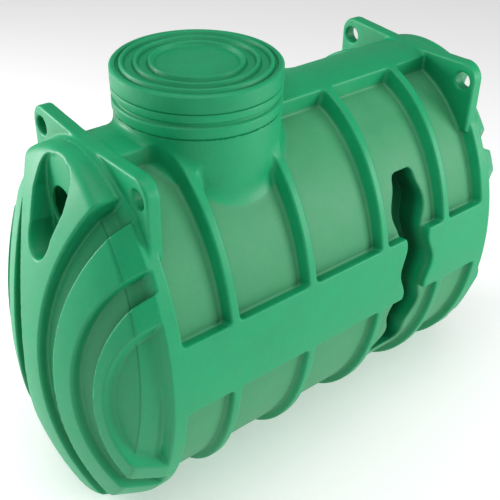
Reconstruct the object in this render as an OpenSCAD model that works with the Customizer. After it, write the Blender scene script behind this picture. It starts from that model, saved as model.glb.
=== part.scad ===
// Horizontal moulded septic tank: ribbed oval shell, domed ends, turret with lid.
// X runs along the tank (inlet end at -X), Y across it, Z up. Z = 0 is the ground.

/* [Body] */
// half height of the ribbed body, to the outside of the ribs
body_r = 575; // [560:5:590]
// half width of the body divided by its half height
oval = 0.68; // [0.67:0.01:0.70]
// depth of the recessed upper panels
recess = 50; // [46:2:54]
// depth of the recessed panels below the side bands
recess_low = 32; // [30:2:36]
// wall thickness of the moulding
wall = 10; // [8:1:12]
// width of the outer face of each rib
rib_w = 26; // [24:2:32]
// how much wider a rib is at its foot, on each side
rib_draft = 13; // [8:1:16]
// width of the end rings
end_w = 42; // [40:2:46]
// centre of the end rings from the middle of the tank
ring_end_x = 592; // [588:1:596]
// centre of the next pair of ribs
ring_mid_x = 405; // [402:1:408]
// centre of the inner pair of ribs
ring_in_x = 140; // [138:1:143]
// half angle of the top and bottom bands
band_top_a = 12.5; // [11:0.5:14]
// centre of the side bands, as an angle from the top
band_side_c = 85; // [84:1:88]
// half angle of the side bands
band_side_a = 11; // [10:0.5:12]
// width of the flat moulded feet
foot_w = 200; // [190:10:220]

/* [Ends] */
// distance from the end ring to the crease of the end
shoulder_l = 38; // [36:1:40]
// radius of the crease where the end begins
crease_r = 528; // [526:1:532]
// how far the end bulges past the crease
dome_h = 120; // [116:1:122]
// lean of the ends in degrees, outwards at the foot
lean = 4.3; // [4.0:0.1:4.6]
// depth of the grooves and hollows in the ends
recess_end = 27; // [24:1:30]
// half width of the central spine at mid height
spine_w = 70; // [66:2:74]
// bore of the inlet and of the outlet
pipe_r = 55; // [50:1:56]
// height of the pipe centres above the middle of the body
pipe_z = 418; // [412:1:422]

/* [Turret] */
// centre of the turret along the tank
neck_x = -252; // [-256:1:-248]
// outside radius of the turret
neck_r = 224; // [222:1:228]
// outside radius of the lid
lid_r = 228; // [227:1:232]
// height of the lid's rim above the middle of the body
lid_z = 712; // [704:2:720]
// height of the lid's skirt
lid_h = 50; // [46:2:56]

/* [Lifting ears] */
// middle of the ears along the tank
ear_x = 575; // [572:1:580]
// centre of the ear holes across the tank
ear_y = 238; // [234:1:242]
// centre of the ear holes above the middle of the body
ear_z = 528; // [524:1:532]
// radius of the ear holes
ear_hole_r = 26; // [22:1:30]
// thickness of the ears
ear_t = 40; // [34:2:44]

/* [Hidden] */
green = [0.10, 0.62, 0.38];
dark = [0.06, 0.50, 0.30];
N = 96;
fr = body_r - recess;          // outside radius of the upper panels
fl = body_r - recess_low;      // and of the lower ones
zc = body_r;                   // height of the body's axis
xe = ring_end_x + end_w/2;     // outer face of the end rings
xk = xe + shoulder_l;          // plane of the crease
// radius of the sphere of the end, from its rise and the crease
dome_r = (crease_r*crease_r + dome_h*dome_h) / (2*dome_h);
dome_c = xk + dome_h - dome_r; // its centre along X
slot_x = 279;
slot_w = 114;
// crease of the recessed skin of the end
rc = crease_r - 1.2 * recess_end;
xc = dome_c + sqrt(pow(dome_r - recess_end, 2) - rc * rc);
px = xk + 8;                   // flat back of the pipe pocket

module place() { translate([0, 0, zc]) scale([1, oval, 1]) children(); }

// part of a ring about the X axis: a = angle from the top towards -Y
module sector(ri, ro, a0, a1, x0, x1) {
  rotate([0, 90, 0]) rotate([0, 0, 180 + a0])
    rotate_extrude(angle = a1 - a0, $fn = N) translate([ri, x0]) square([ro - ri, x1 - x0]);
}
// the same with a hollow channel section, wider at its foot by d, open towards the inside
module channel(ri, ro, a0, a1, x0, x1, d) {
  rotate([0, 90, 0]) rotate([0, 0, 180 + a0]) rotate_extrude(angle = a1 - a0, $fn = N)
    polygon([[ri, x0 - d], [ro, x0], [ro, x1], [ri, x1 + d], [ri, x1 + d - wall], [ro - wall, x1 - wall], [ro - wall, x0 + wall], [ri, x0 - d + wall]]);
}
module rod(r, x0, x1) { translate([x0, 0, 0]) rotate([0, 90, 0]) cylinder(r = r, h = x1 - x0, $fn = N); }

// four arcs of one rib, between the bands
module rib_arcs(x) {
  for (a = [[band_top_a, band_side_c - band_side_a, fr], [band_side_c + band_side_a, 180 - band_top_a, fl]], s = [-1, 1])
    channel(a[2] - wall, body_r, s > 0 ? a[0] : 360 - a[1], s > 0 ? a[1] : 360 - a[0], x - rib_w/2, x + rib_w/2, rib_draft);
}
// four curved panels of one bay
module bay(x0, x1) {
  for (a = [[band_top_a, band_side_c - band_side_a, fr], [band_side_c + band_side_a, 180 - band_top_a, fl]], s = [-1, 1])
    sector(a[2] - wall, a[2], s > 0 ? a[0] : 360 - a[1], s > 0 ? a[1] : 360 - a[0], x0, x1);
}
// band running along the tank, closed at both edges, hollow inside
module band(a, h, x0, x1) {
  difference() {
    sector(fr - wall, body_r, a - h, a + h, x0, x1);
    sector(fr - wall - 5, body_r - wall, a - h + 1.2, a + h - 1.2, x0 - 1, x1 + 1);
  }
}
module top_band() color(green) place() difference() {
  band(0, band_top_a, -xe + end_w, xe - end_w);
  // the turret passes through it
  translate([neck_x, 0, fr - 60]) scale([1, 1/oval, 1]) cylinder(r = neck_r, h = 200, $fn = N);
}
// bottom band with a flat sole on which the tank rests
module bottom_band() color(green) difference() {
  union() {
    place() sector(fr - wall, body_r, 180 - 1.25 * band_top_a, 180 + 1.25 * band_top_a, -xe + end_w, xe - end_w);
    translate([-xe + end_w, -foot_w/2, 0]) cube([2 * (xe - end_w), foot_w, 50]);
  }
  place() rod(fr - 0.5, -xe, xe);
  place() sector(fr - wall - 5, body_r - 20, 180 - 0.85 * band_top_a, 180 + 0.85 * band_top_a, -xe + end_w + 20, xe - end_w - 20);
}
module side_band_near() color(green) difference() {
  place() band(band_side_c, band_side_a, -xe + end_w, xe - end_w);
  place() slot_cut(-1);
}
module side_band_far() color(green) difference() {
  place() band(360 - band_side_c, band_side_a, -xe + end_w, xe - end_w);
  place() slot_cut(1);
}
// end ring: complete channel ring
module end_ring(s) rotate([0, 0, s > 0 ? 0 : 180]) revolve()
  polygon([[fr - wall, xe - end_w], [body_r, xe - end_w], [body_r, xe], [fr - wall, xe], [fr - wall, xe - wall], [body_r - wall, xe - wall], [body_r - wall, xe - end_w + wall], [fr - wall, xe - end_w + wall]]);
module ring_inlet() color(green) place() end_ring(-1);
module ring_outlet() color(green) place() end_ring(1);
module rib_a() color(green) place() difference() { rib_arcs(-ring_mid_x); neck_clear(); }
module rib_b() color(green) place() difference() { rib_arcs(-ring_in_x); neck_clear(); }
module rib_c() color(green) place() rib_arcs(ring_in_x);
module rib_d() color(green) place() difference() { rib_arcs(ring_mid_x); slot_cut(-1); slot_cut(1); }
module neck_clear() translate([neck_x, 0, 0]) scale([1, 1/oval, 1]) cylinder(r = neck_r - 1, h = 900, $fn = N);
function ge() = xe - end_w;               // inner face of the end rings
function g(x, s) = x + s * (rib_w/2 + rib_draft);
module panels_a() color(dark) place() bay(-ge(), g(-ring_mid_x, -1));
module panels_b() color(dark) place() difference() { bay(g(-ring_mid_x, 1), g(-ring_in_x, -1)); neck_clear(); }
module panels_c() color(dark) place() difference() { bay(g(-ring_in_x, 1), g(ring_in_x, -1)); neck_clear(); }
module panels_d() color(dark) place() difference() { bay(g(ring_in_x, 1), g(ring_mid_x, -1)); slot_cut(-1); slot_cut(1); }
module panels_e() color(dark) place() bay(g(ring_mid_x, 1), ge());

// swelling outline of the slot of the moulded partition, in the side view
function wave(z) = 12 * cos((z - 45) * 360 / 178);
module slot_shape(g) polygon(concat(
  [for (z = [-345:15:330]) [slot_x - slot_w/2 - g - wave(z), z + (z > 329 ? g : z < -344 ? -g : 0)]],
  [for (z = [330:-15:-345]) [slot_x + slot_w/2 + g + wave(z), z + (z > 329 ? g : z < -344 ? -g : 0)]]));
module slot_cut(s) intersection() {
  translate([0, s > 0 ? 0 : -700, 0]) rotate([90, 0, 0]) translate([0, 0, -700]) linear_extrude(height = 700) slot_shape(0);
  rod(700, 0, 600);
}
module partition(s) difference() {
  intersection() {
    translate([0, s > 0 ? 0 : -700, 0]) rotate([90, 0, 0]) translate([0, 0, -700]) linear_extrude(height = 700) slot_shape(wall);
    union() {
      sector(fr - 170, fr - wall, 0, 360, 0, 600);
      for (a = [band_side_c + band_side_a, 180 + band_top_a])
        sector(fr - wall - 5, fl - wall, a, a + 180 - band_top_a - band_side_c - band_side_a, 0, 600);
    }
  }
  difference() { slot_cut(s); rod(fr - 160, 0, 600); }
}
module partition_near() color(dark) place() partition(-1);
module partition_far() color(dark) place() partition(1);

// lifting ear: plate in the plane of an end ring, rounded corner with a hole
module ear_2d() difference() {
  union() {
    translate([ear_y - 8, ear_z + 6]) circle(r = 52, $fn = N);
    polygon([[25, 540], [200, 370], [ear_y + 44, ear_z - 140], [ear_y + 44, ear_z + 6], [ear_y - 8, ear_z + 58], [25, body_r]]);
  }
  translate([ear_y, ear_z]) circle(r = ear_hole_r, $fn = N);
}
module ears(x) translate([x - ear_t/2, 0, zc]) difference() {
  rotate([90, 0, 90]) for (m = [0, 1]) mirror([m, 0, 0]) linear_extrude(height = ear_t) ear_2d();
  scale([1, oval, 1]) rod(body_r, -1, ear_t + 1);
}
module ears_inlet() color(green) ears(-ear_x);
module ears_outlet() color(green) ears(ear_x);

// turret
module neck() color(green) difference() {
  translate([neck_x, 0, zc + 300]) cylinder(r = neck_r, h = lid_z - lid_h - 69 - 300, $fn = N);
  translate([neck_x, 0, zc + 290]) cylinder(r = neck_r - wall, h = 500, $fn = N);
  place() rod(fr, -600, 600);
}
module neck_collar() color(green) translate([neck_x, 0, zc + lid_z - lid_h - 69]) difference() {
  union() {
    cylinder(r = neck_r, h = 69, $fn = N);
    for (i = [0, 1]) translate([0, 0, 2 + 35 * i]) cylinder(r = neck_r + 4, h = 28, $fn = N);
  }
  translate([0, 0, -1]) cylinder(r = neck_r - wall, h = 71, $fn = N);
}
module lid() color(green) translate([neck_x, 0, zc + lid_z - lid_h]) difference() {
  cylinder(r = lid_r, h = lid_h, $fn = N);
  translate([0, 0, -1]) cylinder(r = lid_r - wall, h = lid_h - wall + 1, $fn = N);
}
module lid_rings() color(green) translate([neck_x, 0, zc + lid_z]) for (k = [0.86, 0.70, 0.535]) difference() {
  cylinder(r = lid_r * k + 7, h = 7, $fn = N);
  translate([0, 0, -1]) cylinder(r = lid_r * k - 7, h = 9, $fn = N);
}

// ends, drawn for the end at +X
// points of the dome's arc, from the axis out to radius r
function arc(off, r) = [for (i = [0:15]) let(a = asin(r / (dome_r - off)) * i / 15) [(dome_r - off) * sin(a), dome_c + (dome_r - off) * cos(a)]];
function rev(v) = [for (i = [len(v) - 1:-1:0]) v[i]];
module revolve() rotate([0, 90, 0]) for (h = [0, 180]) rotate([0, 0, h]) rotate_extrude(angle = 180, $fn = N) children();
// front-view outline pushed through the end, from plane x0 outwards
module through(x0) translate([x0, 0, 0]) rotate([90, 0, 90]) linear_extrude(height = 400) children();
// recessed skin of the end, with its short cylindrical part
module end_shell() difference() {
  revolve() polygon(concat(arc(recess_end, rc), [[fr, xc - 46], [fr, xe - 110], [fr - wall, xe - 110], [fr - wall, xc - 50]], rev(arc(recess_end + wall, rc - 8))));
  through(px - wall) arch_2d(-0.5);
}
module pipe_cut(s, r) translate([0, 0, zc + pipe_z]) rotate([0, s > 0 ? 90 : -90, 0]) cylinder(r = r, h = 1200, $fn = N);
// raised skin of the end
module dome_slab() revolve() polygon(concat(arc(0, crease_r), rev(arc(recess_end, rc))));
// area of the end in the front view, taken out of the raised skin
module dome_part() intersection() {
  dome_slab();
  through(xk - 150) children();
}
// the upper half of the spine and the pipe's housing stand a little proud of the dome
function front(z) = xk + dome_h - z * z / 2900;
module front_slab(x0, z0, z1) rotate([90, 0, 0]) translate([0, 0, -300]) linear_extrude(height = 600)
  polygon(concat([[x0, z1], [x0, z0]], [for (i = [0:12]) let(z = z0 + (z1 - z0) * i / 12) [front(z), z]]));
// outlines in the front view; each family of arcs has its own centre beside the tank
module disc(c, r) for (s = [-1, 1]) translate([s * c, 0]) circle(r = r, $fn = N);
module groove1() difference() { disc(830, 830 - spine_w); disc(873, 714); }
module groove2() difference() { disc(734, 474); disc(820, 467); }
module hollow() disc(717, 317);
module spine_2d(z0) difference() {
  translate([-300, z0]) square([600, 234.5 - z0]);
  disc(830, 830 - spine_w);
}
module spine() union() {
  dome_part() spine_2d(-575);
  intersection() {
    front_slab(xk + dome_h - recess_end + 1, 1, 234.5);
    through(xk) spine_2d(1);
  }
}
module arcs_outer() dome_part() difference() { disc(873, 714); disc(734, 474); }
module arcs_inner() dome_part() difference() { disc(820, 467); hollow(); }
// top of the spine, which carries the pipe pocket
module arch_2d(g) difference() {
  translate([-300, 235 + g]) square([600, 400]);
  disc(830, 830 - spine_w + g);
}
module pocket_2d() {
  translate([0, 448]) circle(r = 112, $fn = N);
  translate([0, 366]) circle(r = 76, $fn = N);
  for (s = [-1, 1]) translate([s * 70, 506]) circle(r = 42, $fn = N);
  polygon([[-110, 460], [-112, 506], [-70, 548], [70, 548], [112, 506], [110, 460], [73, 350], [-73, 350]]);
}
module housing() difference() {
  intersection() {
    revolve() polygon([[0, px - wall], [sqrt(pow(dome_r - recess_end, 2) - pow(px - wall - dome_c, 2)), px - wall], [rc, xc], [crease_r, xk], [body_r - 3, xe], [body_r - 3, xe + 80], [0, xk + dome_h]]);
    front_slab(xe - 1, 235, body_r + 5);
    through(xe - 1) arch_2d(0);
  }
  through(px) pocket_2d();
}
module shoulder() difference() {
  revolve() polygon([[fr, xe - 110], [body_r - 3, xe - 110], [body_r - 3, xe], [crease_r, xk], [rc, xc], [fr, xc - 46]]);
  through(xe - 1) { groove1(); groove2(); }
  through(xe - 120) hollow();
}
// the whole end leans about the top of its ring and is cut off at plane x0 inside
module end_at(s, x0 = xe) place() rotate([0, 0, s > 0 ? 0 : 180]) difference() {
  translate([xe, 0, body_r]) rotate([0, -lean, 0]) translate([-xe, 0, -body_r]) children();
  translate([x0 - 900, -900, -900]) cube([900, 1800, 1800]);
}
module end_inlet() color(dark) difference() { end_at(-1, xe - wall) end_shell(); pipe_cut(-1, pipe_r + 15); }
module end_outlet() color(dark) difference() { end_at(1, xe - wall) end_shell(); pipe_cut(1, pipe_r + 15); }
module shoulder_inlet() color(green) end_at(-1) shoulder();
module shoulder_outlet() color(green) end_at(1) shoulder();
module spine_inlet() color(green) end_at(-1) spine();
module spine_outlet() color(green) end_at(1) spine();
module arcs_outer_inlet() color(green) end_at(-1) arcs_outer();
module arcs_outer_outlet() color(green) end_at(1) arcs_outer();
module arcs_inner_inlet() color(green) end_at(-1) arcs_inner();
module arcs_inner_outlet() color(green) end_at(1) arcs_inner();
module housing_inlet() color(green) difference() { end_at(-1) housing(); pipe_cut(-1, pipe_r); }
module housing_outlet() color(green) difference() { end_at(1) housing(); pipe_cut(1, pipe_r); }

bottom_band();
top_band();
side_band_near();
side_band_far();
ring_inlet();
rib_a();
rib_b();
rib_c();
rib_d();
ring_outlet();
panels_a();
panels_b();
panels_c();
panels_d();
panels_e();
partition_near();
partition_far();
ears_inlet();
ears_outlet();
neck();
neck_collar();
lid();
lid_rings();
end_inlet();
shoulder_inlet();
spine_inlet();
arcs_outer_inlet();
arcs_inner_inlet();
housing_inlet();
end_outlet();
shoulder_outlet();
spine_outlet();
arcs_outer_outlet();
arcs_inner_outlet();
housing_outlet();
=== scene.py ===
import bpy, math
import numpy as np
from mathutils import Vector, Matrix


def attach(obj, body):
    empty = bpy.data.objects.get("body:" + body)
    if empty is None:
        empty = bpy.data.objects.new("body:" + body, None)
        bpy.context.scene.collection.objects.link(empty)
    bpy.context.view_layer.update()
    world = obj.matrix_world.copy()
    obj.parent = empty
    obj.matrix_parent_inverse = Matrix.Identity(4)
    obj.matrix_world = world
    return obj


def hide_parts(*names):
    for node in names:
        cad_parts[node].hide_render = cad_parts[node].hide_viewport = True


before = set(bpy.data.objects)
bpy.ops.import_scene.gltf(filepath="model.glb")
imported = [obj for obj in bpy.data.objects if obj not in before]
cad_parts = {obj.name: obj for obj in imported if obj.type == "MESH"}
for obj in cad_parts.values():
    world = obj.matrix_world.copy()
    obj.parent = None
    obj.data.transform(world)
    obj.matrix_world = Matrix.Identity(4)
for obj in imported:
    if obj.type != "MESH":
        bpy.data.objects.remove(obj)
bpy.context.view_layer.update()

# ---------------------------------------------------------------- sizes (mm)
RA = 0.68            # half width / half height of the body
R = 575.0            # half height of the body, outside the ribs
ZC = 575.0           # height of the body's axis
DEP = 50.0           # depth of the recessed upper panels
DEPL = 32.0          # depth of the panels below the side bands
DEPE = 27.0          # depth of the grooves and hollows in the ends
XEND, XMID, XIN = 592.0, 405.0, 140.0
ENDW, RIBW = 42.0, 26.0
XE = XEND + ENDW / 2
XK = XE + 38.0       # crease of the end, before it leans
CR, DH = 528.0, 120.0
DR = (CR * CR + DH * DH) / (2 * DH)
DC = XK + DH - DR
LEAN = math.radians(4.3)
BT = 12.5            # half angle of the top band
SC, SA = 85.0, 11.0  # side band centre and half angle
NX, NR = -252.0, 224.0
LZ = 712.0
LR = 228.0
EX, EY, EZ, EH, ET = 575.0, 238.0, 528.0, 26.0, 40.0
PZ, PR = 418.0, 55.0
PX = XK + 8.0
SLX, SLW = 279.0, 114.0
F32 = np.float32


def smin(a, b, k):
    h = np.maximum(k - np.abs(a - b), 0.0) / k
    return np.minimum(a, b) - h * h * k * 0.25


def smax(a, b, k):
    h = np.maximum(k - np.abs(a - b), 0.0) / k
    return np.maximum(a, b) + h * h * k * 0.25


def step01(v, a, b):
    t = np.clip((v - a) / (b - a), 0, 1)
    return t * t * (3 - 2 * t)


def box2(px, py, hx, hy, r):
    qx = np.abs(px) - (hx - r)
    qy = np.abs(py) - (hy - r)
    return np.hypot(np.maximum(qx, 0), np.maximum(qy, 0)) + np.minimum(np.maximum(qx, qy), 0) - r


def leaned(ax, z):
    """Coordinates in the frame of the leaning end, which turns about the top of its ring."""
    dx = ax - XE; dz = z - R
    ca, sa = math.cos(LEAN), math.sin(LEAN)
    return XE + dx * ca + dz * sa, R - dx * sa + dz * ca


def envelope(ax, u, z, xt, zt, off, line):
    """Plain body moved in by off: oval tube, sloping shoulder from the end ring to the crease, shallow dome."""
    rho = np.hypot(u, z); rt = np.hypot(u, zt)
    w = step01(ax, XE - 6, XE + 26)
    rm = rho + (rt - rho) * w
    ca, sa = math.cos(LEAN), math.sin(LEAN)
    xkr = XE + ((XK - XE) - (z - R) * sa) / ca
    s = np.clip((ax - XE) / (xkr - XE), 0, 1.25)
    cyl = rm - (R - (R - CR) * s - off)
    dome = np.hypot(np.maximum(xt - DC, 0), rt) - (DR - off)
    d = smax(cyl, dome, 4.0)
    # fine groove along the crease
    return d + line * np.exp(-(np.hypot(rt - (CR - off), xt - XK) / 5.0) ** 2)


def inner(ax, u, z, xt, zt, off):
    """Recessed skin: tube, sloping ring out to its own crease, dome."""
    rho = np.hypot(u, z); rt = np.hypot(u, zt)
    w = step01(ax, XE - 6, XE + 26)
    rm = rho + (rt - rho) * w
    rc = CR - 1.2 * DEPE
    xc = DC + math.sqrt((DR - DEPE) ** 2 - rc * rc)
    slope = (R - DEP - rc) / 46.0
    cyl = (rm - (R - off - slope * np.maximum(xt - (xc - 46.0), 0) * w)) / (1 + 0.18 * w)
    dome = np.hypot(np.maximum(xt - DC, 0), rt) - (DR - DEPE)
    return smax(cyl, dome, 4.0)


def boss(u, xt, zt, e1):
    """Upper half of the spine and the pipe's housing, which stand a little proud of the dome."""
    front = (xt - (XK + DH - zt * zt / 2900.0 - u * u / 5000.0)) / np.hypot(1.0, zt / 1450.0)
    d = smax(np.hypot(u, zt) - (R - 3.0), front, 30.0)
    d = smax(d, (830.0 - 70.0) - e1, 9.0)
    return np.maximum(d, np.maximum(-zt, XE - 4 - xt))


def floor_depth(ax, th):
    """Depth of the recessed floors: shallower below the side bands."""
    return DEP + (DEPL - DEP) * step01(th, SC - 3, SC + 3) * (1 - step01(ax, XEND - 8, XEND + 8))


def side_areas(x, th, ds):
    """Distance to the edge of the recessed panels along X and round the body, negative inside."""
    ax = np.abs(x)
    edges = [(-XIN + RIBW / 2, XIN - RIBW / 2), (XIN + RIBW / 2, XMID - RIBW / 2), (XMID + RIBW / 2, XEND - ENDW / 2)]
    dx = np.full_like(x, 1e3)
    for i, (a, b) in enumerate(edges):
        c, h = ((a + b) / 2, (b - a) / 2)
        dx = np.minimum(dx, np.abs((x if i == 0 else ax) - c) - h)
    up = (BT + (SC - SA)) / 2, ((SC - SA) - BT) / 2
    lo = ((SC + SA) + (180 - BT)) / 2, ((180 - BT) - (SC + SA)) / 2
    da = np.minimum(np.abs(th - up[0]) - up[1], np.abs(th - lo[0]) - lo[1]) * ds
    return dx, da


def corner(a, b, r):
    qa, qb = a + r, b + r
    return np.hypot(np.maximum(qa, 0), np.maximum(qb, 0)) + np.minimum(np.maximum(qa, qb), 0) - r


def skin(P):
    x = P[:, 0]; y = P[:, 1]; z = P[:, 2]
    ax = np.abs(x); ay = np.abs(y)
    u = ay / RA
    rho = np.maximum(np.hypot(u, z), 1.0)
    xt, zt = leaned(ax, z)
    kq = np.hypot(u / RA, z) / rho
    k2 = np.where(ax > XE, 1.0 + (kq - 1.0) * 0.7, kq)
    return x, y, z, ax, ay, u, rho, xt, zt, kq, k2


def recessed(P):
    """1 on the sunk floors, 0 on the raised faces."""
    x, y, z, ax, ay, u, rho, xt, zt, kq, k2 = skin(P)
    O = envelope(ax, u, z, xt, zt, 0.0, 0.0)
    th = np.degrees(np.arctan2(u, z))
    I = inner(ax, u, z, xt, zt, floor_depth(ax, th))
    m = (1 - step01(np.abs(I), 4.0, 11.0)) * step01(-O, 12.0, 20.0)
    # the painted whitish reflection is much weaker on the floors of the ends, which stay nearer the colour of the
    # raised faces
    m = m * np.where(ax > XE - 5, np.where(np.hypot(u - 717, zt) < 330, 0.2, np.where(np.hypot(u - 734, zt) < 500, 0.65, 0.3)), 1.0)
    return (m * (np.hypot(x - NX, y) > NR + 14)).astype(F32)


def fold_shade_mask(P):
    """1 far inside the fold of the near side, 0 elsewhere; it sets where painted shade darkens the skin."""
    x, y, z, ax, ay, u, rho, xt, zt, kq, k2 = skin(P)
    O = envelope(ax, u, z, xt, zt, 0.0, 0.0)
    return (step01(-O, 60.0, 118.0) * (ax < XE - 60)).astype(F32)


def body(P):
    x, y, z, ax, ay, u, rho, xt, zt, kq, k2 = skin(P)
    th = np.degrees(np.arctan2(u, z))
    cs = np.cos(np.radians(th)); sn = np.sin(np.radians(th))
    ds = R * np.hypot(RA * cs, sn) * math.pi / 180
    e1 = np.hypot(u - 830, zt)
    O = envelope(ax, u, z, xt, zt, 0.0, 4.0) / k2
    I = inner(ax, u, z, xt, zt, floor_depth(ax, th)) / k2
    dep = np.clip(-O, 0, DEP + 20)
    draft = 0.26 * dep
    dx, da = side_areas(x, th, ds)
    G = corner(dx + draft, da + draft * 0.55, 13.0)
    # ends: grooves and hollows, by their outlines in the front view
    g1 = np.maximum(e1 - 760, 714 - np.hypot(u - 873, zt)) / 1.12
    g2 = np.maximum(np.hypot(u - 734, zt) - 474, 467 - np.hypot(u - 820, zt)) / 1.12
    g3 = (np.hypot(u - 717, zt) - 317) / 1.12
    dr = 0.13 * dep
    G = np.minimum(G, corner(g1 + dr, (XE - 12 - ax) + 0.35 * dep, 8.0))
    G = np.minimum(G, corner(g2 + dr, (XE - 8 - ax) + 0.35 * dep, 8.0))
    G = np.minimum(G, corner(g3 + dr, (XE + 1 - ax) + 0.35 * dep, 6.0))
    d = smax(O, -G, 6.0)
    d = np.minimum(d, boss(u, xt, zt, e1) / k2)
    d = smin(d, I, 6.0)
    # flat sole
    sole = np.maximum(box2(y, z + R - 30.0, 100.0, 30.0, 8.0), ax - XE + 4)
    d = smin(d, sole, 10.0)
    # lifting ears
    top = z - (R + 11 * np.clip((ay - 25) / 205, 0, 1)); side = ay - (EY + 44)
    rc = 52.0
    e2d = np.hypot(np.maximum(top + rc, 0), np.maximum(side + rc, 0)) + np.minimum(np.maximum(top + rc, side + rc), 0) - rc
    hole = np.hypot(ay - EY, z - EZ) - EH
    e2d = smax(e2d, -hole, 5.0)
    ear = smax(e2d, np.abs(ax - EX) - ET / 2, 9.0)
    ear = np.maximum(ear, 372.0 - z)
    d = smin(d, ear, 9.0)
    # turret wall
    rn = np.hypot(x - NX, y)
    neck = np.maximum(rn - NR, np.maximum(z - (LZ - 120), 200 - z))
    d = smin(d, neck, 24.0)
    # pocket for the pipe: flat back, running out at the top where the front slopes back
    tz = np.clip((zt - 366) / 82.0, 0, 1)
    egg = np.hypot(u, zt - (366 + 82 * tz)) - (76 + 36 * tz)
    egg = np.minimum(egg, box2(u, zt - 478, 112, 70, 56))
    d = smax(d, -smax(egg * 0.86, PX - xt, 9.0), 7.0)
    pipe = np.maximum(np.hypot(y, z - PZ) - PR, (PX - 40) - xt)
    cav = np.maximum(np.hypot(y, z - 400) - 66, np.maximum(xt - (PX - 12), 350 - ax))
    d = smax(d, -pipe, 3.0)
    d = np.maximum(d, -cav)
    # folds of the partition
    w = 12.0 * np.cos(np.radians((z - 45) * 360 / 178.0))
    q = box2((x - SLX) / (SLW / 2 + w) * (SLW / 2), z + 7.5, SLW / 2, 337.5, 26.0) * 0.84
    fold = np.maximum(q + 0.03 * dep, (R - 172) - rho)
    d = smax(d, -fold, 7.0)
    return d


# ---------------------------------------------------------------- meshing
def evaluate(fn, P, chunk=1500000):
    out = np.empty(len(P), F32)
    for i in range(0, len(P), chunk):
        out[i:i + chunk] = fn(P[i:i + chunk].astype(F32))
    return out


def gradient(fn, P, h=0.8):
    g = np.empty((len(P), 3), F32)
    for k in range(3):
        e = np.zeros(3, F32); e[k] = h
        g[:, k] = (evaluate(fn, P + e) - evaluate(fn, P - e)) / (2 * h)
    return g


def surface_nets(fn, lo, hi, step, coarse=4, iters=3):
    """Closed quad mesh of fn = 0 inside the box lo..hi. Returns vertices, normals, quads."""
    lo = np.array(lo, float)
    n = np.ceil((np.array(hi, float) - lo) / (step * coarse)).astype(int)
    cs = step * coarse
    cx, cy, cz = np.meshgrid(*[lo[i] + (np.arange(n[i]) + 0.5) * cs for i in range(3)], indexing="ij")
    C = np.stack([cx.ravel(), cy.ravel(), cz.ravel()], 1).astype(F32)
    f = evaluate(fn, C)
    act = np.abs(f) < cs * 1.45
    idx = np.argwhere(act.reshape(n))
    m = n * coarse + 1
    V = np.full(m, np.nan, F32)
    off = np.stack(np.meshgrid(*[np.arange(coarse + 1)] * 3, indexing="ij"), -1).reshape(-1, 3)
    gi = (idx[:, None, :] * coarse + off[None]).reshape(-1, 3)
    lin = np.unique((gi[:, 0] * m[1] + gi[:, 1]) * m[2] + gi[:, 2])
    g0 = lin // (m[1] * m[2]); r = lin % (m[1] * m[2]); g1 = r // m[2]; g2 = r % m[2]
    P = np.stack([lo[0] + g0 * step, lo[1] + g1 * step, lo[2] + g2 * step], 1)
    V.ravel()[lin] = evaluate(fn, P)
    known = ~np.isnan(V)
    neg = V < 0
    # cells whose eight corners are known and of both signs
    def corners(A):
        return [A[i:m[0] - 1 + i, j:m[1] - 1 + j, k:m[2] - 1 + k] for i in (0, 1) for j in (0, 1) for k in (0, 1)]
    kn = np.logical_and.reduce(corners(known))
    ng = corners(neg)
    allneg = np.logical_and.reduce(ng); anyneg = np.logical_or.reduce(ng)
    cell = kn & anyneg & ~allneg
    ci = np.argwhere(cell)
    num = np.full(cell.shape, -1, np.int64)
    num[cell] = np.arange(len(ci))
    c8 = {}
    for i in (0, 1):
        for j in (0, 1):
            for k in (0, 1):
                c8[(i, j, k)] = V[ci[:, 0] + i, ci[:, 1] + j, ci[:, 2] + k]
    acc = np.zeros((len(ci), 3)); cnt = np.zeros(len(ci))
    for a in c8:
        for ax in range(3):
            if a[ax] == 0:
                b = list(a); b[ax] = 1; b = tuple(b)
                va, vb = c8[a], c8[b]
                cr = (va < 0) != (vb < 0)
                t = np.where(cr, va / np.where(cr, va - vb, 1), 0)
                p = np.array(a, float)[None].repeat(len(ci), 0)
                p[:, ax] = t
                acc[cr] += p[cr]; cnt[cr] += 1
    P = lo + (ci + acc / cnt[:, None]) * step
    # quads across each grid edge with a sign change
    quads = []
    for ax in range(3):
        o1, o2 = [(1, 2), (2, 0), (0, 1)][ax]
        sl0 = [slice(1, m[k] - 1) for k in range(3)]; sl1 = list(sl0)
        sl0[ax] = slice(0, m[ax] - 1); sl1[ax] = slice(1, m[ax])
        a = V[tuple(sl0)]; b = V[tuple(sl1)]
        ed = np.argwhere(((a < 0) != (b < 0)) & ~np.isnan(a) & ~np.isnan(b))
        g = ed + 1; g[:, ax] -= 1
        flip = V[g[:, 0], g[:, 1], g[:, 2]] < 0
        def cellat(s1, s2):
            q = g.copy(); q[:, o1] += s1; q[:, o2] += s2
            return num[q[:, 0], q[:, 1], q[:, 2]]
        Q = np.stack([cellat(-1, -1), cellat(0, -1), cellat(0, 0), cellat(-1, 0)], 1)
        ok = (Q >= 0).all(1)
        Q = Q[ok]; fl = flip[ok]
        Q[~fl] = Q[~fl][:, ::-1]
        quads.append(Q)
    Q = np.concatenate(quads)
    for it in range(iters):
        f = evaluate(fn, P); g = gradient(fn, P)
        l2 = np.maximum((g * g).sum(1), 0.05)
        stepv = (f / l2)[:, None] * g
        ln = np.linalg.norm(stepv, axis=1)
        stepv *= np.minimum(1, step * 0.5 / np.maximum(ln, 1e-6))[:, None]
        P = P - stepv
    g = gradient(fn, P)
    N = g / np.maximum(np.linalg.norm(g, axis=1), 1e-6)[:, None]
    return P.astype(np.float64), N.astype(np.float64), Q


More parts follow.
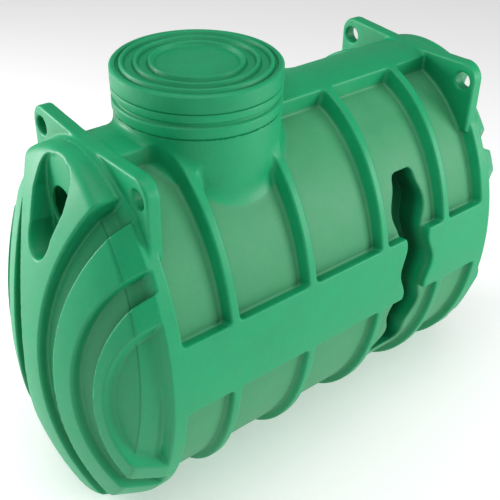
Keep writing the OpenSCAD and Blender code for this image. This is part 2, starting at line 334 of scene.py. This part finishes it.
def add_mesh(name, P, N, Q, mats=(), shift=(0, 0, ZC), mask=None):
    me = bpy.data.meshes.new(name)
    P = (P + np.array(shift)) / 1000.0
    P[:, 2] = np.maximum(P[:, 2], 0.0)          # nothing below the floor it stands on
    me.vertices.add(len(P)); me.vertices.foreach_set("co", P.astype(F32).ravel())
    me.loops.add(Q.size); me.loops.foreach_set("vertex_index", Q.astype(np.int32).ravel())
    me.polygons.add(len(Q))
    me.polygons.foreach_set("loop_start", np.arange(0, Q.size, Q.shape[1], dtype=np.int32))
    me.polygons.foreach_set("loop_total", np.full(len(Q), Q.shape[1], np.int32))
    me.polygons.foreach_set("use_smooth", np.ones(len(Q), bool))
    me.update(calc_edges=True)
    me.validate(clean_customdata=False)
    if N is not None and len(me.vertices) == len(N):
        me.normals_split_custom_set_from_vertices(N.astype(F32))
    if mask is not None and len(me.vertices) == len(mask):
        for i, an in enumerate(("recess", "fold")):
            me.attributes.new(an, "FLOAT", "POINT").data.foreach_set("value", np.ascontiguousarray(mask[:, i]).astype(F32))
    ob = bpy.data.objects.new(name, me)
    bpy.context.scene.collection.objects.link(ob)
    for m in mats:
        me.materials.append(m)
    return ob


def split(name, P, N, Q, nx, mats=(), mask=None):
    """Cuts one mesh into nx pieces along X, sharing their border positions and normals."""
    c = P[Q].mean(1)[:, 0]
    cuts = np.quantile(c, np.linspace(0, 1, nx + 1)); cuts[0] -= 1; cuts[-1] += 1
    obs = []
    for i in range(nx):
        q = Q[(c > cuts[i]) & (c <= cuts[i + 1])]
        used, inv = np.unique(q, return_inverse=True)
        obs.append(add_mesh("%s_%d" % (name, i + 1), P[used], N[used], inv.reshape(q.shape), mats, mask=None if mask is None else mask[used]))
    return obs


def lathe(name, profile, cx, cy, mats=(), n=192, cap_top=True, cap_bottom=True):
    """Turned piece about a vertical line. profile: (r, z) in mm from the bottom up, z from the body's axis."""
    pr = np.array(profile, float)
    a = np.arange(n) * 2 * math.pi / n
    V = np.concatenate([np.stack([cx + r * np.cos(a), cy + r * np.sin(a), np.full(n, z)], 1) for r, z in pr])
    me = bpy.data.meshes.new(name)
    faces = []
    for i in range(len(pr) - 1):
        for j in range(n):
            k = (j + 1) % n
            faces.append((i * n + j, i * n + k, (i + 1) * n + k, (i + 1) * n + j))
    verts = [tuple(v) for v in V]
    if cap_bottom:
        verts.append((cx, cy, pr[0][1])); c = len(verts) - 1
        faces += [((j + 1) % n, j, c) for j in range(n)]
    if cap_top:
        verts.append((cx, cy, pr[-1][1])); c = len(verts) - 1
        o = (len(pr) - 1) * n
        faces += [(o + j, o + (j + 1) % n, c) for j in range(n)]
    verts = [((v[0]) / 1000.0, v[1] / 1000.0, (v[2] + ZC) / 1000.0) for v in verts]
    me.from_pydata(verts, [], faces)
    me.update()
    for p in me.polygons:
        p.use_smooth = True
    ob = bpy.data.objects.new(name, me)
    bpy.context.scene.collection.objects.link(ob)
    for m in mats:
        me.materials.append(m)
    return ob


def rounded(points, seg=5):
    """Polyline (r, z, fillet radius) -> dense polyline with rounded corners."""
    out = []
    n = len(points)
    for i, (r, z, f) in enumerate(points):
        if i == 0 or i == n - 1 or f <= 0:
            out.append((r, z)); continue
        p = Vector((r, z)); a = Vector(points[i - 1][:2]); b = Vector(points[i + 1][:2])
        da = (a - p); db = (b - p)
        la, lb = da.length, db.length
        da.normalize(); db.normalize()
        ang = math.acos(max(-1, min(1, da.dot(db))))
        if ang > math.pi - 0.05:
            out.append((r, z)); continue
        t = min(f / math.tan(ang / 2), la * 0.48, lb * 0.48)
        rr = t * math.tan(ang / 2)
        c = p + (da + db).normalized() * (rr / math.sin(ang / 2))
        s, e = p + da * t - c, p + db * t - c
        a0 = math.atan2(s.y, s.x); a1 = math.atan2(e.y, e.x)
        d = (a1 - a0 + math.pi) % (2 * math.pi) - math.pi
        for k in range(seg + 1):
            q = a0 + d * k / seg
            out.append((c.x + rr * math.cos(q), c.y + rr * math.sin(q)))
    return out


# ---------------------------------------------------------------- materials
def lin(r, g, b):
    f = lambda c: c / 12.92 if c <= 0.04045 else ((c + 0.055) / 1.055) ** 2.4
    return (f(r / 255), f(g / 255), f(b / 255), 1.0)


def plastic(name, base, dark, floor_sheen_col, wall_col, rough=0.42, bump=0.25, seed=0.0, sunk=True):
    """Moulded polyethylene: satin, faint orange peel, slow drifts of colour. Sunk floors are duller, and greyer from a
    painted whitish reflection.
    """
    m = bpy.data.materials.new(name); m.use_nodes = True
    nt = m.node_tree; nd = nt.nodes; lk = nt.links
    for n in list(nd):
        nd.remove(n)
    out = nd.new("ShaderNodeOutputMaterial")
    bs = nd.new("ShaderNodeBsdfPrincipled")
    lk.new(bs.outputs[0], out.inputs[0])
    co = nd.new("ShaderNodeTexCoord")
    mp = nd.new("ShaderNodeMapping"); mp.inputs["Location"].default_value = (seed, seed * 0.7, -seed)
    lk.new(co.outputs["Object"], mp.inputs[0])

    def noise(scale, detail=4, rough_=0.55):
        n = nd.new("ShaderNodeTexNoise"); n.inputs["Scale"].default_value = scale
        n.inputs["Detail"].default_value = detail; n.inputs["Roughness"].default_value = rough_
        lk.new(mp.outputs[0], n.inputs["Vector"])
        return n

    def ramp(src, a, b, lo=0.0, hi=1.0):
        r = nd.new("ShaderNodeMapRange"); r.inputs[1].default_value = a; r.inputs[2].default_value = b
        r.inputs[3].default_value = lo; r.inputs[4].default_value = hi
        lk.new(src, r.inputs[0])
        return r.outputs[0]

    def mix(fac, a, b):
        n = nd.new("ShaderNodeMix"); n.data_type = "RGBA"
        if isinstance(fac, float):
            n.inputs[0].default_value = fac
        else:
            lk.new(fac, n.inputs[0])
        for v, i in ((a, 6), (b, 7)):
            if isinstance(v, tuple):
                n.inputs[i].default_value = v
            else:
                lk.new(v, n.inputs[i])
        return n.outputs[2]

    def math2(op, a, b):
        n = nd.new("ShaderNodeMath"); n.operation = op
        for v, i in ((a, 0), (b, 1)):
            if isinstance(v, (int, float)):
                n.inputs[i].default_value = v
            else:
                lk.new(v, n.inputs[i])
        return n.outputs[0]

    slow = noise(2.2, 3); mid = noise(14, 5); fine = noise(260, 2, 0.5); speck = noise(90, 3, 0.7)
    col = mix(ramp(slow.outputs["Fac"], 0.35, 0.68), base, dark)
    if sunk:
        at = nd.new("ShaderNodeAttribute"); at.attribute_name = "recess"
        # painted whitish reflection on the matt floors, with a soft, slightly cloudy border
        f = math2("MULTIPLY", at.outputs["Fac"], ramp(mid.outputs["Fac"], 0.25, 0.6, 0.86, 1.0))
        col = mix(f, col, floor_sheen_col)
        # painted shade: the skin inside the folds of the partition is darkened almost to black
        fold_shade_attr = nd.new("ShaderNodeAttribute"); fold_shade_attr.attribute_name = "fold"
        col = mix(math2("MULTIPLY", fold_shade_attr.outputs["Fac"], 0.8), col, (0.0005, 0.055, 0.018, 1))
    hsv = nd.new("ShaderNodeHueSaturation")
    lk.new(ramp(mid.outputs["Fac"], 0.3, 0.7, 0.95, 1.05), hsv.inputs["Value"])
    lk.new(ramp(speck.outputs["Fac"], 0.3, 0.7, 0.98, 1.02), hsv.inputs["Saturation"])
    lk.new(col, hsv.inputs["Color"])
    col = hsv.outputs[0]
    if sunk:
        # painted shade: thin dark lines along the crease of the ends and of their recessed floors
        sp = nd.new("ShaderNodeSeparateXYZ"); lk.new(co.outputs["Object"], sp.inputs[0])
        mm = lambda v: math2("MULTIPLY", v, 1000.0)
        dx = math2("SUBTRACT", mm(math2("ABSOLUTE", sp.outputs[0], 0.0)), XE)
        dz = math2("SUBTRACT", mm(sp.outputs[2]), ZC + R)
        ca, sa = math.cos(LEAN), math.sin(LEAN)
        xt = math2("ADD", math2("ADD", math2("MULTIPLY", dx, ca), math2("MULTIPLY", dz, sa)), XE)
        zt = math2("ADD", math2("SUBTRACT", math2("MULTIPLY", dz, ca), math2("MULTIPLY", dx, sa)), R)
        u = math2("DIVIDE", mm(sp.outputs[1]), RA)
        sq = lambda v: math2("MULTIPLY", v, v)
        rt = math2("SQRT", math2("ADD", sq(u), sq(zt)), 0.0)
        rc = CR - 1.2 * DEPE
        xc = DC + math.sqrt((DR - DEPE) ** 2 - rc * rc)
        line = 0.0
        for r0, x0, wd in ((CR, XK, 3.0), (rc, xc, 2.4)):
            ds = math2("SQRT", math2("ADD", sq(math2("SUBTRACT", rt, r0)), sq(math2("SUBTRACT", xt, x0))), 0.0)
            line = math2("MAXIMUM", line, ramp(ds, wd * 0.5, wd * 1.8, 0.75, 0.0))
        col = mix(line, col, (0.004, 0.16, 0.065, 1))
    # painted shade: the colour is darkened where ambient occlusion finds the skin hemmed in, in folds, grooves and
    # crevices
    ao = nd.new("ShaderNodeAmbientOcclusion"); ao.samples = 8; ao.only_local = True
    ao.inputs["Distance"].default_value = 0.16
    occluded_shade_col = mix(0.72, col, (0.001, 0.10, 0.035, 1))
    col = mix(ramp(ao.outputs["AO"], 0.25, 0.74), occluded_shade_col, col)
    lk.new(col, bs.inputs["Base Color"])
    r1 = ramp(mid.outputs["Fac"], 0.3, 0.7, rough - 0.04, rough + 0.06)
    r2 = ramp(speck.outputs["Fac"], 0.45, 0.75, 0.0, 0.05)
    rr = math2("ADD", r1, r2)
    if sunk:
        rr = math2("ADD", rr, math2("MULTIPLY", at.outputs["Fac"], 0.10))
    lk.new(rr, bs.inputs["Roughness"])
    bs.inputs["IOR"].default_value = 1.5
    bs.inputs["Specular IOR Level"].default_value = 0.36
    b1 = nd.new("ShaderNodeBump"); b1.inputs["Strength"].default_value = bump
    b1.inputs["Distance"].default_value = 0.0006
    lk.new(fine.outputs["Fac"], b1.inputs["Height"])
    b2 = nd.new("ShaderNodeBump"); b2.inputs["Strength"].default_value = 0.45
    b2.inputs["Distance"].default_value = 0.003
    lk.new(noise(9, 2, 0.4).outputs["Fac"], b2.inputs["Height"])
    lk.new(b1.outputs[0], b2.inputs["Normal"])
    lk.new(b2.outputs[0], bs.inputs["Normal"])
    return m


BASE = (0.004, 0.328, 0.130, 1); BASE2 = (0.003, 0.303, 0.117, 1)
# the third colour is the painted whitish reflection of the sunk floors
green = plastic("green_polyethylene", BASE, BASE2, (0.048, 0.288, 0.128, 1), (0.0, 0.1, 0.04, 1), rough=0.44)
green_turret = plastic("green_polyethylene_turret", BASE, BASE2, BASE, BASE, rough=0.44, seed=1.7, sunk=False)
green_lid = plastic("green_polyethylene_lid", (0.004, 0.316, 0.128, 1), (0.003, 0.290, 0.114, 1), BASE, BASE, rough=0.46, seed=3.1, sunk=False)

# ---------------------------------------------------------------- body
STEP = 5.0
P, N, Q = surface_nets(body, (-850, -420, -600), (850, 420, 640), STEP)
mask = np.stack([evaluate(recessed, P), evaluate(fold_shade_mask, P)], 1)
hull = split("tank_skin", P, N, Q, 5, [green], mask)
BODY = ["bottom_band", "top_band", "side_band_near", "side_band_far", "ring_inlet", "rib_a", "rib_b", "rib_c", "rib_d",
        "ring_outlet", "panels_a", "panels_b", "panels_c", "panels_d", "panels_e", "partition_near", "partition_far",
        "ears_inlet", "ears_outlet", "neck"]
for e in ("inlet", "outlet"):
    BODY += [n + "_" + e for n in ("end", "shoulder", "spine", "arcs_outer", "arcs_inner", "housing")]
for ob in hull:
    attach(ob, "root")
    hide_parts(*BODY)

# ---------------------------------------------------------------- turret collar and lid
z0 = LZ - 119
collar = lathe("turret_collar", rounded([
    (NR - 14, z0 - 30, 0), (NR - 3, z0 - 30, 2), (NR - 3, z0, 3), (LR - 1, z0 + 5, 5), (LR - 1, z0 + 30, 6), (NR - 5, z0 + 36, 4),
    (NR - 5, z0 + 42, 4), (LR - 1, z0 + 47, 5), (LR - 1, z0 + 66, 5), (NR - 6, z0 + 70, 2), (NR - 14, z0 + 70, 0)]), NX, 0, [green_turret])
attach(collar, "root"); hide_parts("neck_collar")

zl = LZ - 50


def bead(k, w=13.0, h=8.0, base=-8.0):
    """Raised ring on the lid: rounded bead of radius LR * k."""
    r = LR * k
    return [(r + w / 2 + 3, LZ + base, 3), (r + w / 2 - 1, LZ + base + h * 0.55, 2), (r + w / 2 - 4, LZ + base + h, 3),
            (r - w / 2 + 4, LZ + base + h, 3), (r - w / 2 + 1, LZ + base + h * 0.55, 2), (r - w / 2 - 3, LZ + base, 3)]


lid = lathe("lid_cap", rounded([
    (NR - 20, zl, 0), (LR - 2, zl, 3), (LR, zl + 5, 3), (LR - 0.5, LZ - 6, 2), (LR - 6, LZ, 5), (LR * 0.93, LZ - 1, 4), (LR * 0.915, LZ - 8, 4)]
    + bead(0.86, h=13) + bead(0.70, h=13) + bead(0.535, h=13) + [(LR * 0.46, LZ - 5, 6), (LR * 0.08, LZ - 4, 0)]), NX, 0, [green_lid])
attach(lid, "root"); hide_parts("lid", "lid_rings")

# ---------------------------------------------------------------- floor, light, camera
def plane(name, size, mat):
    me = bpy.data.meshes.new(name); s = size / 2
    me.from_pydata([(-s, -s, 0), (s, -s, 0), (s, s, 0), (-s, s, 0)], [], [(0, 1, 2, 3)]); me.update()
    ob = bpy.data.objects.new(name, me); bpy.context.scene.collection.objects.link(ob)
    me.materials.append(mat)
    return ob


fm = bpy.data.materials.new("studio_floor"); fm.use_nodes = True
fb = fm.node_tree.nodes["Principled BSDF"]
fb.inputs["Base Color"].default_value = (0.88, 0.88, 0.88, 1); fb.inputs["Roughness"].default_value = 0.95
fb.inputs["Specular IOR Level"].default_value = 0.1
fb.inputs["Emission Color"].default_value = (1, 1, 1, 1); fb.inputs["Emission Strength"].default_value = 0.26
floor = plane("studio_floor", 60, fm)
floor.location.z = -0.001

w = bpy.data.worlds.new("studio"); bpy.context.scene.world = w; w.use_nodes = True
wn = w.node_tree.nodes; wl = w.node_tree.links
bg = wn["Background"]
bg.inputs[0].default_value = (1.0, 1.0, 1.0, 1); bg.inputs[1].default_value = 0.32


def area(name, loc, target, size, power, col=(1, 1, 1)):
    l = bpy.data.lights.new(name, "AREA"); l.shape = "SQUARE"; l.size = size; l.energy = power; l.color = col
    o = bpy.data.objects.new(name, l); bpy.context.scene.collection.objects.link(o)
    o.location = loc
    o.rotation_mode = "QUATERNION"
    o.rotation_quaternion = (Vector(target) - Vector(loc)).to_track_quat("-Z", "Y")
    return o


area("left_key", (-3.0, 3.2, 1.5), (-0.5, 0, 0.7), 1.6, 168)
area("right_key", (3.2, -3.9, 1.9), (0, 0, 0.6), 2.0, 160)
area("overhead", (-0.8, -0.8, 4.4), (-0.1, -0.1, 0), 3.6, 84)

CAM = dict(C=(-1.4415, -1.6943, 2.1337), yaw=50.897, pitch=32.585, roll=1.229, f=850.43, cy=215.0)
cd = bpy.data.cameras.new("camera"); cam = bpy.data.objects.new("camera", cd)
bpy.context.scene.collection.objects.link(cam); bpy.context.scene.camera = cam
cd.sensor_fit = "HORIZONTAL"; cd.sensor_width = 36.0
cd.lens = CAM["f"] / 500.0 * 36.0
cd.shift_x = 0.0; cd.shift_y = -(250.0 - CAM["cy"]) / 500.0
cd.clip_start, cd.clip_end = 0.05, 200
ya, pi_, ro = (math.radians(CAM[k]) for k in ("yaw", "pitch", "roll"))
fw = Vector((math.cos(pi_) * math.cos(ya), math.cos(pi_) * math.sin(ya), -math.sin(pi_)))
rt = Vector((math.sin(ya), -math.cos(ya), 0)); upv = rt.cross(fw)
rt2 = math.cos(ro) * rt + math.sin(ro) * upv; up2 = -math.sin(ro) * rt + math.cos(ro) * upv
rot = Matrix((rt2, up2, -fw)).transposed()
cam.matrix_world = Matrix.Translation(Vector(CAM["C"])) @ rot.to_4x4()

bpy.context.scene.view_settings.view_transform = "Standard"
bpy.context.view_layer.update()
